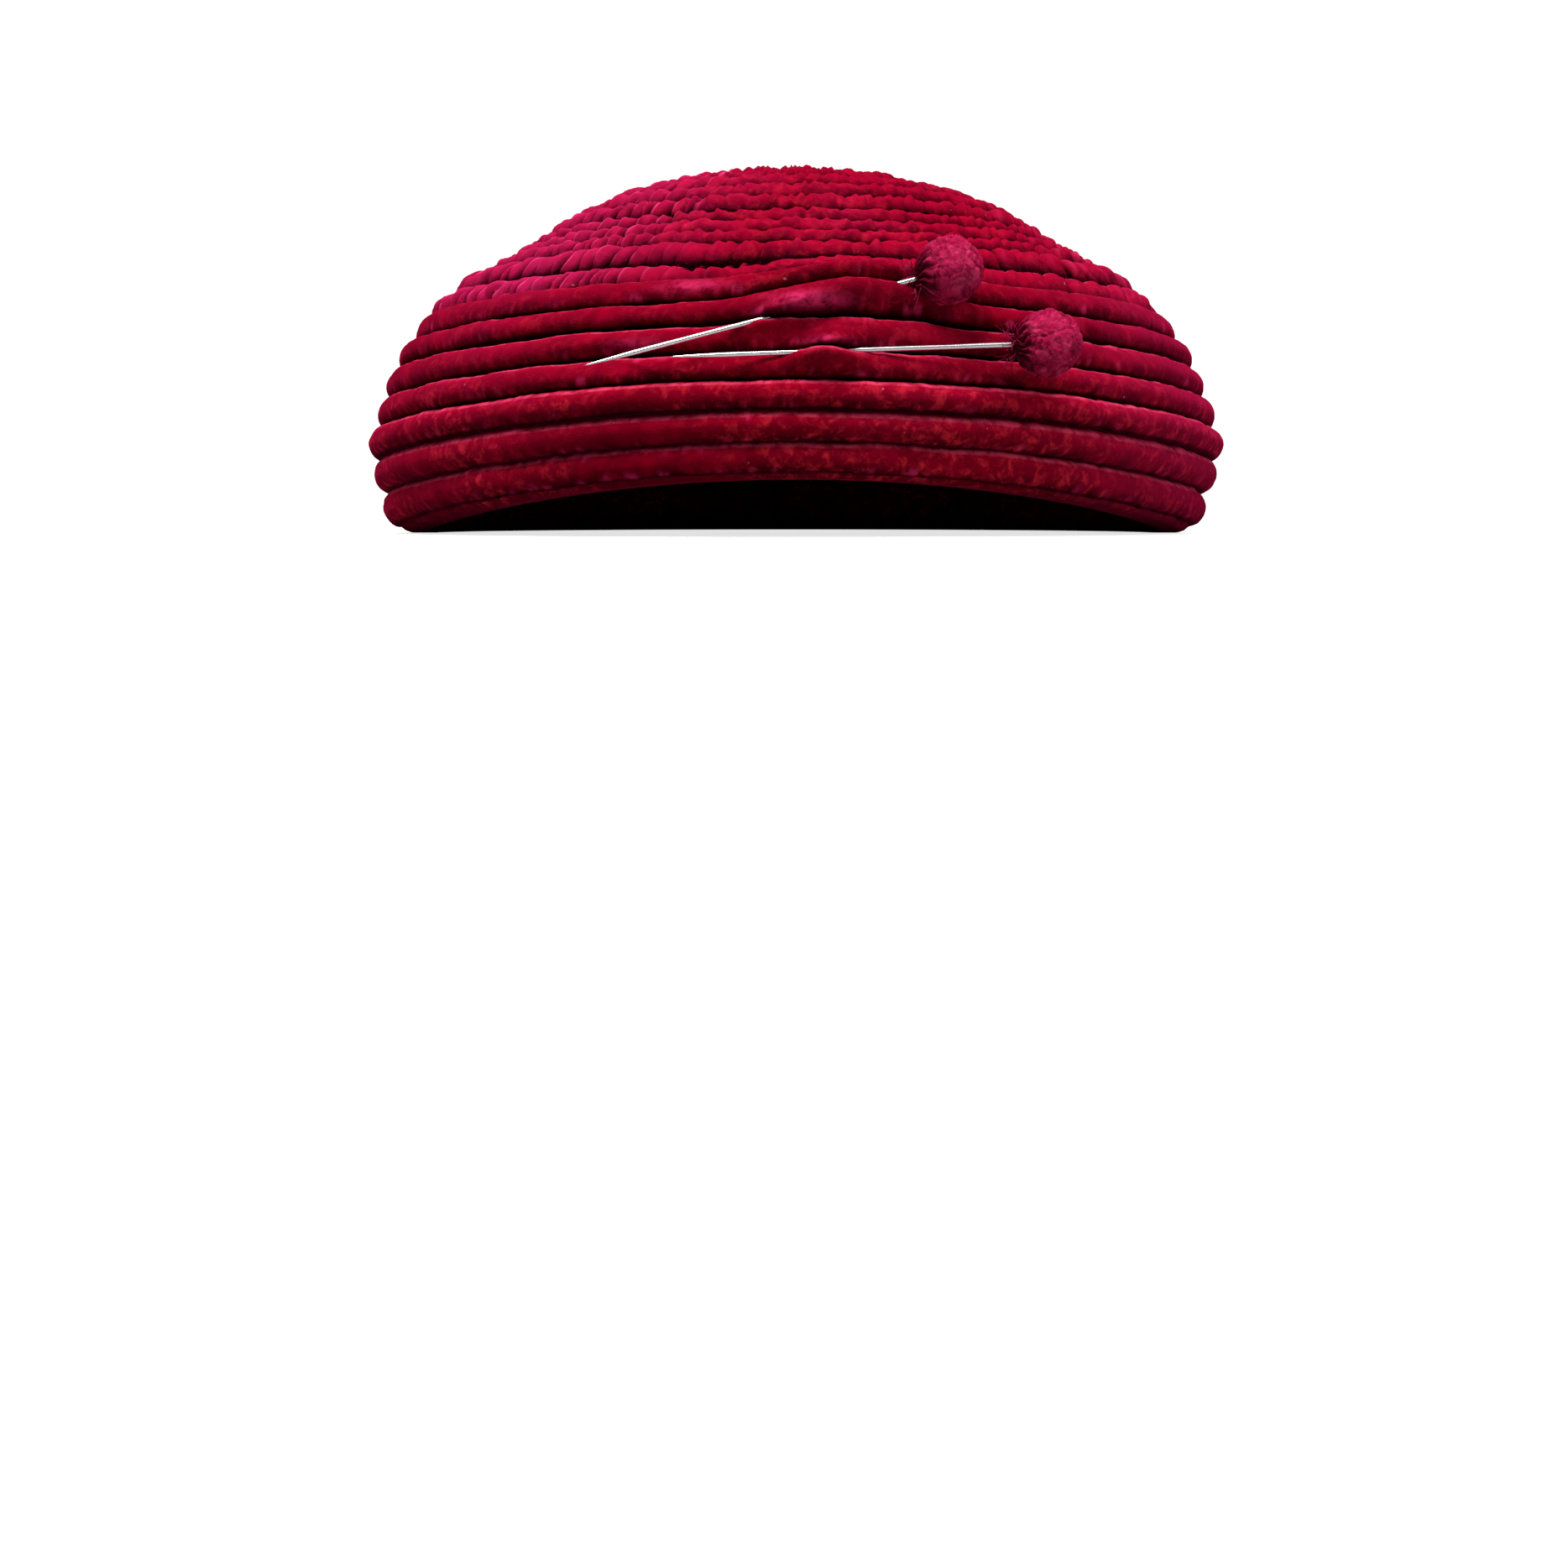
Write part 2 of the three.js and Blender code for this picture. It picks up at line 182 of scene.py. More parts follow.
def meshPiece(name, points, faces, material, attributes=None):
    mesh = bpy.data.meshes.new(name)
    mesh.from_pydata(np.asarray(points).reshape(-1, 3).tolist(), [], [list(f) for f in faces])
    mesh.materials.append(material)
    for key, values in (attributes or {}).items():
        layer = mesh.attributes.new(key, "FLOAT_VECTOR", "POINT")
        layer.data.foreach_set("vector", np.asarray(values, np.float32).ravel())
    mesh.polygons.foreach_set("use_smooth", [True] * len(mesh.polygons))
    mesh.update()
    piece = bpy.data.objects.new(name, mesh)
    bpy.context.scene.collection.objects.link(piece)
    return piece


def ringFaces(around, across, closed):
    # Quads of a grid whose first index closes round the hat, and whose second closes too if asked.
    i = np.arange(around)
    j = np.arange(across if closed else across - 1)
    a = (i[:, None] * across + j[None, :]).ravel()
    b = (((i + 1) % around)[:, None] * across + j[None, :]).ravel()
    c = (((i + 1) % around)[:, None] * across + ((j + 1) % across)[None, :]).ravel()
    d = (i[:, None] * across + ((j + 1) % across)[None, :]).ravel()
    return np.stack([a, b, c, d], -1)


# Arithmetic on a node tree's sockets, so that a rule reads as a formula.
class Wire:
    def __init__(self, tree, socket):
        self.tree = tree
        self.socket = socket

    def math(self, operation, *others):
        node = self.tree.nodes.new("ShaderNodeMath")
        node.operation = operation
        for value, socket in zip((self, *others), node.inputs):
            feed(self.tree, value, socket)
        return Wire(self.tree, node.outputs[0])

    def __add__(self, other):
        return self.math("ADD", other)

    def __mul__(self, other):
        return self.math("MULTIPLY", other)

    def __sub__(self, other):
        return self.math("SUBTRACT", other)

    def __truediv__(self, other):
        return self.math("DIVIDE", other)

    def __rsub__(self, other):
        return (self * -1) + other

    def between(self, low, high):
        # 0 below low, 1 above high and smooth between; low may be the higher one.
        node = self.tree.nodes.new("ShaderNodeMapRange")
        node.interpolation_type = "SMOOTHSTEP"
        feed(self.tree, self, node.inputs["Value"])
        node.inputs["From Min"].default_value = low
        node.inputs["From Max"].default_value = high
        return Wire(self.tree, node.outputs["Result"])


def feed(tree, value, socket):
    if isinstance(value, Wire):
        tree.links.new(value.socket, socket)
    else:
        socket.default_value = value


def split(tree, vector):
    node = tree.nodes.new("ShaderNodeSeparateXYZ")
    feed(tree, vector, node.inputs[0])
    return [Wire(tree, output) for output in node.outputs]


def joined(tree, x, y, z):
    node = tree.nodes.new("ShaderNodeCombineXYZ")
    for value, socket in zip((x, y, z), node.inputs):
        feed(tree, value, socket)
    return Wire(tree, node.outputs[0])


def noiseOf(tree, vector, scale, detail=2.0, roughness=0.5, distortion=0.0):
    node = tree.nodes.new("ShaderNodeTexNoise")
    feed(tree, vector, node.inputs["Vector"])
    feed(tree, scale, node.inputs["Scale"])
    node.inputs["Detail"].default_value = detail
    node.inputs["Roughness"].default_value = roughness
    node.inputs["Distortion"].default_value = distortion
    return Wire(tree, node.outputs[0])


def newGeometryTree(name, inputs):
    # A Geometry Nodes tree with named inputs: the tree, its input wires and its output socket.
    tree = bpy.data.node_groups.new(name, "GeometryNodeTree")
    tree.interface.new_socket("Geometry", in_out="OUTPUT", socket_type="NodeSocketGeometry")
    for label, kind in inputs.items():
        tree.interface.new_socket(label, in_out="INPUT", socket_type=kind)
    source = tree.nodes.new("NodeGroupInput")
    output = tree.nodes.new("NodeGroupOutput")
    wires = {label: Wire(tree, source.outputs[label]) for label in inputs}
    return tree, wires, output.inputs["Geometry"]


def geometryNode(tree, kind, geometry, **sockets):
    # A node that passes geometry on, with its other sockets given by name.
    node = tree.nodes.new(kind)
    if geometry is not None:
        tree.links.new(geometry, node.inputs[0])
    for label, value in sockets.items():
        feed(tree, value, node.inputs[label.replace("_", " ")])
    return node


def grown(name, tree, values):
    # Runs a Geometry Nodes tree once and keeps its result as a plain mesh.
    piece = bpy.data.objects.new(name, bpy.data.meshes.new(name))
    bpy.context.scene.collection.objects.link(piece)
    modifier = piece.modifiers.new("shape", "NODES")
    modifier.node_group = tree
    for item in tree.interface.items_tree:
        if item.in_out == "INPUT" and item.name in values:
            modifier[item.identifier] = values[item.name]
    depsgraph = bpy.context.evaluated_depsgraph_get()
    depsgraph.update()
    mesh = bpy.data.meshes.new_from_object(piece.evaluated_get(depsgraph))
    piece.modifiers.remove(modifier)
    piece.data = mesh
    mesh.name = name
    return piece


def shaderFor(name):
    material = bpy.data.materials.new(name)
    material.use_nodes = True
    tree = material.node_tree
    return material, tree, tree.nodes["Principled BSDF"]


def mixed(tree, share, first, second):
    # The first colour turning into the second by a share; either may be a wire or a plain colour.
    node = tree.nodes.new("ShaderNodeMix")
    node.data_type = "RGBA"
    feed(tree, share, node.inputs[0])
    for value, socket in ((first, node.inputs[6]), (second, node.inputs[7])):
        feed(tree, value if isinstance(value, Wire) else (*value, 1.0), socket)
    return Wire(tree, node.outputs[2])


def bumped(tree, shader, height, strength, distance):
    node = tree.nodes.new("ShaderNodeBump")
    node.inputs["Strength"].default_value = strength
    node.inputs["Distance"].default_value = distance
    feed(tree, height, node.inputs["Height"])
    tree.links.new(node.outputs[0], shader.inputs["Normal"])


def objectPlace(tree):
    return Wire(tree, tree.nodes.new("ShaderNodeTexCoord").outputs["Object"])


def attributeOf(tree, name):
    node = tree.nodes.new("ShaderNodeAttribute")
    node.attribute_name = name
    return Wire(tree, node.outputs["Vector"])


# How the pile is broken up: cells of each noise in a metre, how far two of them shift the shading, then
# where each layer starts and is full.
pile = {
    "broad": 26.0,
    "patch": 130.0,
    "crush": 460.0,
    "fine": 2600.0,
    "fluff": 900.0,
    "patchWave": 0.7,
    "crushWave": 0.35,
    "shadeEnds": (-0.95, -0.1),
    "brightEnds": (0.1, 0.75),
    "mottleEnds": (0.45, 0.72),
    "crushEnds": (0.46, 0.7),
    "crushWhere": (0.38, 0.56),
    "crushFade": 0.018,
    "crushAbove": 0.3,
    "rightEnds": (0.03, 0.085),
    "leftEnds": (0.03, 0.08),
    "pinkEnds": (0.5, 0.75),
    "frontEnds": (0.0, -0.02),
    "rubEnds": (0.3, 0.55),
    "rimStart": (0.6, 0.75),
    "rimStop": (0.95, 0.82),
    "rimEnds": (0.3, 0.65),
    "creaseEnds": (0.05, 0.75),
    "seamEnds": (-0.72, -0.96),
    "fleckEnds": (0.62, 0.74),
    "fluffEnds": (0.885, 0.91),
}


def velvetMaterial(name, look):
    # Pile cloth. The nap attribute holds painted light and shade with some random lightness, how far up its
    # row a point lies, which sets painted shade below and a painted highlight above, and how creased it is,
    # which sets painted shade.
    material, tree, shader = shaderFor(name)
    where = objectPlace(tree)
    paintedLightAndTone, up, crease = split(tree, attributeOf(tree, "nap"))
    x, y, z = split(tree, where)
    broad = noiseOf(tree, where, pile["broad"], 3.0, 0.55)
    patch = noiseOf(tree, where, pile["patch"], 4.0, 0.6, distortion=0.6)
    crush = noiseOf(tree, where, pile["crush"], 5.0, 0.65, distortion=0.4)
    fine = noiseOf(tree, where, pile["fine"], 2.0, 0.6)

    # Painted shade on the underside of a row, turning into a painted highlight on its upper side, with
    # lighter mottles and crushed patches.
    paintedLightLevel = up + (patch - 0.5) * pile["patchWave"] + (crush - 0.5) * pile["crushWave"]
    colour = mixed(tree, paintedLightLevel.between(*pile["shadeEnds"]), look["shade"], look["body"])
    colour = mixed(tree, paintedLightLevel.between(*pile["brightEnds"]) * look["paintedUpperHighlight"], colour, look["bright"])
    colour = mixed(tree, patch.between(*pile["mottleEnds"]) * look["mottle"], colour, look["bright"])
    lower = z.between(look["crushTop"], look["crushTop"] - pile["crushFade"])
    lower = lower * (1 - pile["crushAbove"]) + pile["crushAbove"]
    crushed = crush.between(*pile["crushEnds"]) * broad.between(*pile["crushWhere"]) * lower
    colour = mixed(tree, crushed * look["crush"], colour, look["crushed"])

    # Painted sheen towards the right and high up on the left, plus random pinker patches, more on the upper
    # side of each row.
    right = x.between(*pile["rightEnds"]) * look["sidePaintedSheen"]
    left = (x * -1.0 + z * 0.5).between(*pile["leftEnds"]) * look["leftPaintedSheen"]
    paintedSheenAndPink = (right + left + broad.between(*pile["pinkEnds"]) * look["pink"]).math("MINIMUM", 1.0)
    colour = mixed(tree, paintedSheenAndPink * (up * 0.35 + 0.65), colour, look["sheen"])
    # Painted highlights and painted shade from the first part of the nap, with some random lightness.
    light = paintedLightAndTone.between(0.0, 1.0) * (crush * 0.8 + 0.6) * look["paintedLightAndTone"]
    colour = mixed(tree, light, colour, look["lit"])
    colour = mixed(tree, paintedLightAndTone.between(0.0, -1.0) * look["paintedLightAndTone"], colour, look["shade"])
    # Worn pile painted paler, partly a painted highlight where the cloth is pushed out.
    for rub in rubbedAndLitPatches if look["rub"] else []:
        aside = (x - rub["x"] * mm) / (rub["wide"] * mm)
        above = (z - rub["z"] * mm) / (rub["tall"] * mm)
        rubbedAndLit = (0.0 - aside * aside - above * above).math("EXPONENT") * y.between(*pile["frontEnds"])
        rubbedAndLit = rubbedAndLit * crush.between(*pile["rubEnds"]) * rub["share"]
        colour = mixed(tree, rubbedAndLit, colour, look["lit"])

    # A thin painted highlight under each upper seam, painted shade in creases and seams, short flecks and
    # bits of fluff.
    edge = up.between(*pile["rimStart"]) * up.between(*pile["rimStop"]) * crush.between(*pile["rimEnds"])
    colour = mixed(tree, edge * look["edge"], colour, look["rim"])
    colour = mixed(tree, crease.between(*pile["creaseEnds"]) * look["pit"], colour, look["gap"])
    colour = mixed(tree, up.between(*pile["seamEnds"]), colour, look["gap"])
    colour = mixed(tree, fine.between(*pile["fleckEnds"]) * look["fleck"], colour, look["sheen"])
    fluff = noiseOf(tree, where, pile["fluff"], 0.0).between(*pile["fluffEnds"])
    colour = mixed(tree, fluff * look["lint"], colour, look["fluff"])
    tree.links.new(colour.socket, shader.inputs["Base Color"])
    shader.inputs["Roughness"].default_value = look["roughness"]
    shader.inputs["Specular IOR Level"].default_value = 0.0
    shader.inputs["Sheen Weight"].default_value = look["sheenWeight"]
    shader.inputs["Sheen Roughness"].default_value = look["sheenRoughness"]
    shader.inputs["Sheen Tint"].default_value = (*look["sheenTint"], 1.0)
    bumped(tree, shader, crush * 0.7 + fine * 0.3, look["bump"], 0.0006)
    return material


rollLook = {
    "shade": (0.055, 0.0002, 0.004),
    "body": (0.17, 0.0004, 0.009),
    "bright": (0.29, 0.0008, 0.014),
    "crushed": (0.52, 0.016, 0.03),
    "sheen": (0.34, 0.008, 0.06),
    "rim": (0.6, 0.05, 0.12),
    "lit": (0.6, 0.025, 0.12),
    "gap": (0.006, 0.0001, 0.001),
    "paintedUpperHighlight": 0.7,
    "mottle": 0.6,
    "crush": 0.95,
    "crushTop": 0.034,
    "sidePaintedSheen": 0.55,
    "leftPaintedSheen": 0.15,
    "pink": 0.15,
    "edge": 0.8,
    "pit": 0.0,
    "lint": 0.5,
    "fluff": (0.45, 0.2, 0.24),
    "fleck": 0.2,
    "paintedLightAndTone": 0.6,
    "rub": 1.0,
    "roughness": 0.95,
    "sheenWeight": 0.25,
    "sheenRoughness": 0.3,
    "sheenTint": (1.0, 0.02, 0.15),
    "bump": 0.6,
}
crownLook = {
    **rollLook,
    "shade": (0.06, 0.0003, 0.005),
    "body": (0.25, 0.001, 0.016),
    "bright": (0.36, 0.002, 0.022),
    "sheen": (0.5, 0.016, 0.12),
    "rim": (0.72, 0.08, 0.2),
    "lit": (0.75, 0.05, 0.2),
    "crush": 0.3,
    "crushTop": 0.2,
    "sidePaintedSheen": 0.2,
    "leftPaintedSheen": 0.58,
    "pink": 0.12,
    "sheenWeight": 0.15,
    "pit": 1.0,
}
facingLook = {
    **rollLook,
    "shade": (0.04, 0.0003, 0.004),
    "body": (0.12, 0.0006, 0.008),
    "bright": (0.17, 0.002, 0.01),
    "crushTop": 0.2,
    "edge": 0.0,
    "pit": 0.4,
}
headLook = {
    **rollLook,
    "shade": (0.12, 0.001, 0.014),
    "body": (0.22, 0.002, 0.026),
    "bright": (0.34, 0.008, 0.05),
    "crushed": (0.6, 0.04, 0.12),
    "sheen": (0.42, 0.02, 0.09),
    "paintedUpperHighlight": 0.5,
    "mottle": 0.7,
    "crush": 0.9,
    "crushTop": 0.2,
    "sidePaintedSheen": 0.0,
    "leftPaintedSheen": 0.0,
    "pink": 0.6,
    "edge": 0.0,
    "pit": 0.75,
    "rub": 0.0,
    "bump": 0.8,
}

rollVelvet = velvetMaterial("roll velvet", rollLook)
crownVelvet = velvetMaterial("crown velvet", crownLook)
facingVelvet = velvetMaterial("facing velvet", facingLook)
headVelvet = velvetMaterial("head velvet", headLook)


backingLook = {
    "threads": 5200.0,
    "dark": (0.09, 0.004, 0.011),
    "plain": (0.14, 0.007, 0.018),
    "raised": (0.2, 0.016, 0.03),
    "raisedShare": 0.4,
}
steelLook = {
    "bright": (0.95, 0.94, 0.95),
    "dull": (0.36, 0.3, 0.28),
    "scratches": 1500.0,
    "spots": 260.0,
    "smoothest": 0.16,
}


def backingMaterial():
    # Plain woven cloth, seen inside the hat: the wall and the back of the crown.
    material, tree, shader = shaderFor("backing cloth")
    where = objectPlace(tree)
    x, y, z = split(tree, where)
    overX, overY, overZ = [(axis * backingLook["threads"]).math("SINE") for axis in (x, y, z)]
    weave = overX * overY + overZ * 0.5
    stain = noiseOf(tree, where, 30.0, 4.0, 0.6)
    colour = mixed(tree, stain.between(0.35, 0.65), backingLook["dark"], backingLook["plain"])
    raised = weave.between(-0.6, 0.9) * backingLook["raisedShare"]
    colour = mixed(tree, raised, colour, backingLook["raised"])
    tree.links.new(colour.socket, shader.inputs["Base Color"])
    shader.inputs["Roughness"].default_value = 0.85
    bumped(tree, shader, weave, 0.3, 0.0002)
    return material


def steelMaterial():
    # Drawn steel wire with fine scratches and a few tarnished spots.
    material, tree, shader = shaderFor("pin steel")
    where = objectPlace(tree)
    scratch = noiseOf(tree, where, steelLook["scratches"], 3.0, 0.6)
    tarnish = noiseOf(tree, where, steelLook["spots"], 4.0, 0.65)
    colour = mixed(tree, tarnish.between(0.58, 0.72), steelLook["bright"], steelLook["dull"])
    tree.links.new(colour.socket, shader.inputs["Base Color"])
    rough = tarnish.between(0.55, 0.75) * 0.25 + scratch * 0.1 + steelLook["smoothest"]
    tree.links.new(rough.socket, shader.inputs["Roughness"])
    shader.inputs["Metallic"].default_value = 1.0
    bumped(tree, shader, scratch, 0.04, 0.0001)
    return material


backing = backingMaterial()
steel = steelMaterial()
print("materials made")

# Rolls of the band: one Geometry Nodes tree, run once for each roll.
rollShape = {
    # the lowest roll's velvet is fuller and comes down over the turned edge
    "lowestDrop": 0.8,
    "lowestGrowth": 1.5,
    # waves round the hat, in cells to a radius
    "swingWaves": 3.6,
    "wanderWaves": 4.2,
    "gatherWaves": 5.0,
    "thickWaves": 9.0,
    "lumpWaves": 22.0,
    "puckerWaves": 46.0,
    "thickness": 0.34,
    "lumps": 2.4,
    "stepsRound": 1000,
    "stepsAcross": 28,
    "nap": 0.22,
    "ripple": 0.4,
    "wander": 0.5,
    "pucker": 0.24,
    "puckerPaintedLight": 4.5,
    "fill": 0.9,
    "seed": 3.7,
}


def rollTree():
    sizes = [
        "Middle X", "Middle Z", "Tilt", "Roll Height", "Roll Depth", "Hat Width", "Hat Length", "Front Arch",
        "Band Height", "Arch Level", "Ripple", "Wander", "Pucker", "Seed",
    ]
    tree, given, output = newGeometryTree("corded roll", {
        **{label: "NodeSocketFloat" for label in sizes},
        "Steps Round": "NodeSocketInt",
        "Steps Across": "NodeSocketInt",
        "Material": "NodeSocketMaterial",
    })
    grid = geometryNode(tree, "GeometryNodeMeshGrid", None, Size_X=1.0, Size_Y=1.0,
                        Vertices_X=given["Steps Round"], Vertices_Y=given["Steps Across"])
    across, along, flat = split(tree, Wire(tree, tree.nodes.new("GeometryNodeInputPosition").outputs[0]))
    turn = across * fullTurn
    section = along * fullTurn
    cosTurn = turn.math("COSINE")
    sinTurn = turn.math("SINE")
    out = section.math("COSINE")
    up = section.math("SINE")
    seed = given["Seed"]
    tilt = given["Tilt"].math("RADIANS")

    def waves(count, third, detail=2.0):
        # Noise that closes round the hat, about 0.
        return noiseOf(tree, joined(tree, cosTurn * count, sinTurn * count, third), 1.0, detail) - 0.5

    # Broad waves of the cord, shared ones of the seam lines and short puckers beside the seams.
    swing = waves(rollShape["swingWaves"], seed * 7.3)
    thick = waves(rollShape["thickWaves"], seed * 5.1)
    wander = waves(rollShape["wanderWaves"], given["Middle Z"] * 0.045)
    puckers = waves(rollShape["puckerWaves"], up * 0.8 + seed * 9.7)
    gathered = (waves(rollShape["gatherWaves"], seed * 3.3, 1.0) + 0.5).between(0.42, 0.62)
    lumps = waves(rollShape["lumpWaves"], section * 1.2 + seed, 3.0)
    beside = up.math("ABSOLUTE").between(0.15, 0.85)
    size = thick * rollShape["thickness"] + 1.02
    drawn = puckers * (beside * (gathered * 1.6 + 0.5)) * 2.0
    press = given["Pucker"] * (drawn + lumps * rollShape["lumps"])
    reachOut = out * given["Roll Depth"] * 0.5 * size + press * out
    reachUp = up * given["Roll Height"] * 0.5 * size + press * up * 0.4
    cosTilt = tilt.math("COSINE")
    sinTilt = tilt.math("SINE")
    radius = given["Middle X"] + reachOut * cosTilt - reachUp * sinTilt + given["Ripple"] * swing * 2.0
    level = given["Middle Z"] + reachOut * sinTilt + reachUp * cosTilt
    facing = cosTurn.math("MAXIMUM", 0.0)
    low = (1.0 - level / given["Arch Level"]).math("MAXIMUM", 0.0)
    height = level + given["Front Arch"] * facing * facing * low
    height = height + given["Wander"] * wander * 2.0 * (1.0 - low * 0.6)
    give = out * 0.5 + hat["backShare"]
    turnDegrees = turn.math("DEGREES")
    for swell in swells:
        above = level / given["Band Height"] - swell["level"]
        beyond = turnDegrees - swell["turn"] - above * swell["slant"]
        beyond = beyond / swell["wide"]
        above = above / swell["tall"]
        bell = (0.0 - beyond * beyond - above * above).math("EXPONENT")
        bell = bell * give.math("MAXIMUM", swell["least"])
        radius = radius + bell * (hat["rollHeight"] * swell["out"])
        height = height + bell * (hat["rollHeight"] * swell["up"])
    place3 = joined(tree, radius * sinTurn * mm,
                    radius * cosTurn * given["Hat Length"] / given["Hat Width"] * -mm, height * mm)
    moved = geometryNode(tree, "GeometryNodeSetPosition", grid.outputs[0], Position=place3)
    kept = tree.nodes.new("GeometryNodeStoreNamedAttribute")
    kept.data_type = "FLOAT_VECTOR"
    kept.domain = "POINT"
    tree.links.new(grid.outputs[0], kept.inputs["Geometry"])
    kept.inputs["Name"].default_value = "nap"
    # Painted light and shade on the puckers beside the seams: lighter where they stand out, darker where
    # pressed in.
    paintedLightAndTone = puckers * beside * (gathered + 0.25) * rollShape["puckerPaintedLight"]
    feed(tree, joined(tree, paintedLightAndTone, up, 0.0 - press), kept.inputs["Value"])
    tree.links.new(kept.outputs[0], moved.inputs["Geometry"])
    merged = geometryNode(tree, "GeometryNodeMergeByDistance", moved.outputs[0], Distance=0.000001)
    smooth = geometryNode(tree, "GeometryNodeSetShadeSmooth", merged.outputs[0])
    real = geometryNode(tree, "GeometryNodeRealizeInstances", smooth.outputs[0])
    painted = geometryNode(tree, "GeometryNodeSetMaterial", real.outputs[0], Material=given["Material"])
    tree.links.new(painted.outputs[0], output)
    return tree


rollRule = rollTree()
for number, roll in enumerate(rolls):
    lowest = 1 if number == 0 else 0
    piece = grown(f"{roll['name']}_velvet", rollRule, {
        "Middle X": roll["x"],
        "Middle Z": roll["z"] - lowest * rollShape["lowestDrop"],
        "Tilt": roll["tilt"],
        "Roll Height": roll["height"] + rollShape["nap"] + lowest * rollShape["lowestGrowth"],
        "Roll Depth": float(hat["rollDepth"]),
        "Hat Width": hat["width"],
        "Hat Length": hat["length"],
        "Front Arch": float(hat["frontArch"]),
        "Band Height": float(bandHeight),
        "Arch Level": float(archLevel),
        "Ripple": rollShape["ripple"],
        "Wander": rollShape["wander"],
        "Pucker": rollShape["pucker"] * hat["rollPuckers"][number],
        "Seed": rollShape["seed"] + number,
        "Steps Round": rollShape["stepsRound"] + 1,
        "Steps Across": rollShape["stepsAcross"] + 1,
        "Material": rollVelvet,
    })
    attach(piece, "root")
    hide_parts(roll["name"])
print("rolls made")

# Crown: shirred rows from the top roll to the middle, each pulled into small pillows.
# reach and rise are shares of the top roll's middle and the crown's height, puff how full a row is,
# front how strongly its front is gathered, pit how much painted shade darkens its grooves and pits how deep
# its holes.
rowColumns = ("reach", "rise", "puff", "front", "pit", "pits")
rowTable = [
    (0.939, 0.152, 1.3, 0.45, 0.5, 1.0),
    (0.848, 0.299, 1.4, 0.3, 1.0, 0.1),
    (0.794, 0.377, 0.9, 0.08, 0.5, 0.0),
    (0.738, 0.462, 0.9, 0.05, 0.5, 0.0),
    (0.687, 0.536, 0.9, 0.1, 0.6, 0.5),
    (0.62, 0.647, 1.3, 0.2, 0.9, 0.0),
    (0.54, 0.745, 1.1, 0.1, 0.7, 0.0),
    (0.435, 0.835, 1.1, 0.15, 0.7, 0.0),
    (0.34, 0.903, 1.0, 0.3, 0.6, 0.0),
    (0.245, 0.954, 1.0, 0.4, 0.6, 0.0),
    (0.15, 0.984, 0.9, 0.5, 0.6, 0.0),
    (0.06, 0.997, 0.9, 0.6, 0.6, 0.0),
    (0.0, 1.0, 0.6, 0.8, 0.7, 0.0),
]
crownRows = [dict(zip(rowColumns, row)) for row in rowTable]
crownShape = {
    # pillows: width in millimetres, how much it varies, and how strongly a crease is drawn in
    "pillow": 3.3,
    "widerRight": 0.25,
    "pillowSpread": 0.7,
    "pillowSizes": (0.6, 1.2),
    "weakest": 0.35,
    "strongest": 1.15,
    "slant": 0.6,
    "squeeze": 1.0,
    "roundness": 0.7,
    "scallop": 0.16,
    "tilt": 0.28,
    # the front is smoother: its middle and half width in degrees, where the sides are fully gathered, then
    # where the crisp left begins and ends
    "frontMiddle": 4,
    "frontWidth": 14,
    "sideFrom": 60,
    "leftSideFrom": 36,
    "leftStart": (5, 30),
    "leftStop": (-150, -110),
    "sidePull": 0.75,
    "leftDrawn": 0.7,
    # uneven patches, wandering seams and small lumps: size in millimetres, then height
    "patchSize": 16.0,
    "wanderSize": 14.0,
    "wander": 0.7,
    "lumpSize": 1.7,
    "lump": 0.3,
    # holes at the front, in degrees, and their depth in millimetres
    "pitsFrom": (-34, -24),
    "pitsTo": (-14, 2),
    "pitDepth": 1.3,
    # how the pile is shaded: painted highlights on left edges, varied pillows and painted shade in creases
    "litEdge": 1.3,
    "rightLit": 0.3,
    "litSize": 0.3,
    "creaseShade": 0.4,
    "leftCreaseShade": 0.5,
    "stepsAcross": 11,
    # the crown's pieces: first row, the row after the last, and steps round
    "bands": [(0, 5, 1440), (5, 9, 1060), (9, 13, 500)],
    "smallestRadius": 0.02,
    "seed": 11,
}


def crownGrooves():
    start = np.array([topRoll["x"], bandHeight])
    ends = [(row["reach"] * topRoll["x"], bandHeight + row["rise"] * hat["crownHeight"]) for row in crownRows]
    return [start] + [np.array(end) for end in ends]


def behindRoll(roll, back, grown):
    # A point on the line of the wall, set back from a roll's middle and moved up it.
    up = hat["flatShare"] * roll["height"] if roll is topRoll else 0.0
    return leaning(roll, -wallOffset - back, up + grown)


def outwards(a, b):
    step = (b - a) / np.linalg.norm(b - a)
    return np.array([step[1], -step[0]])


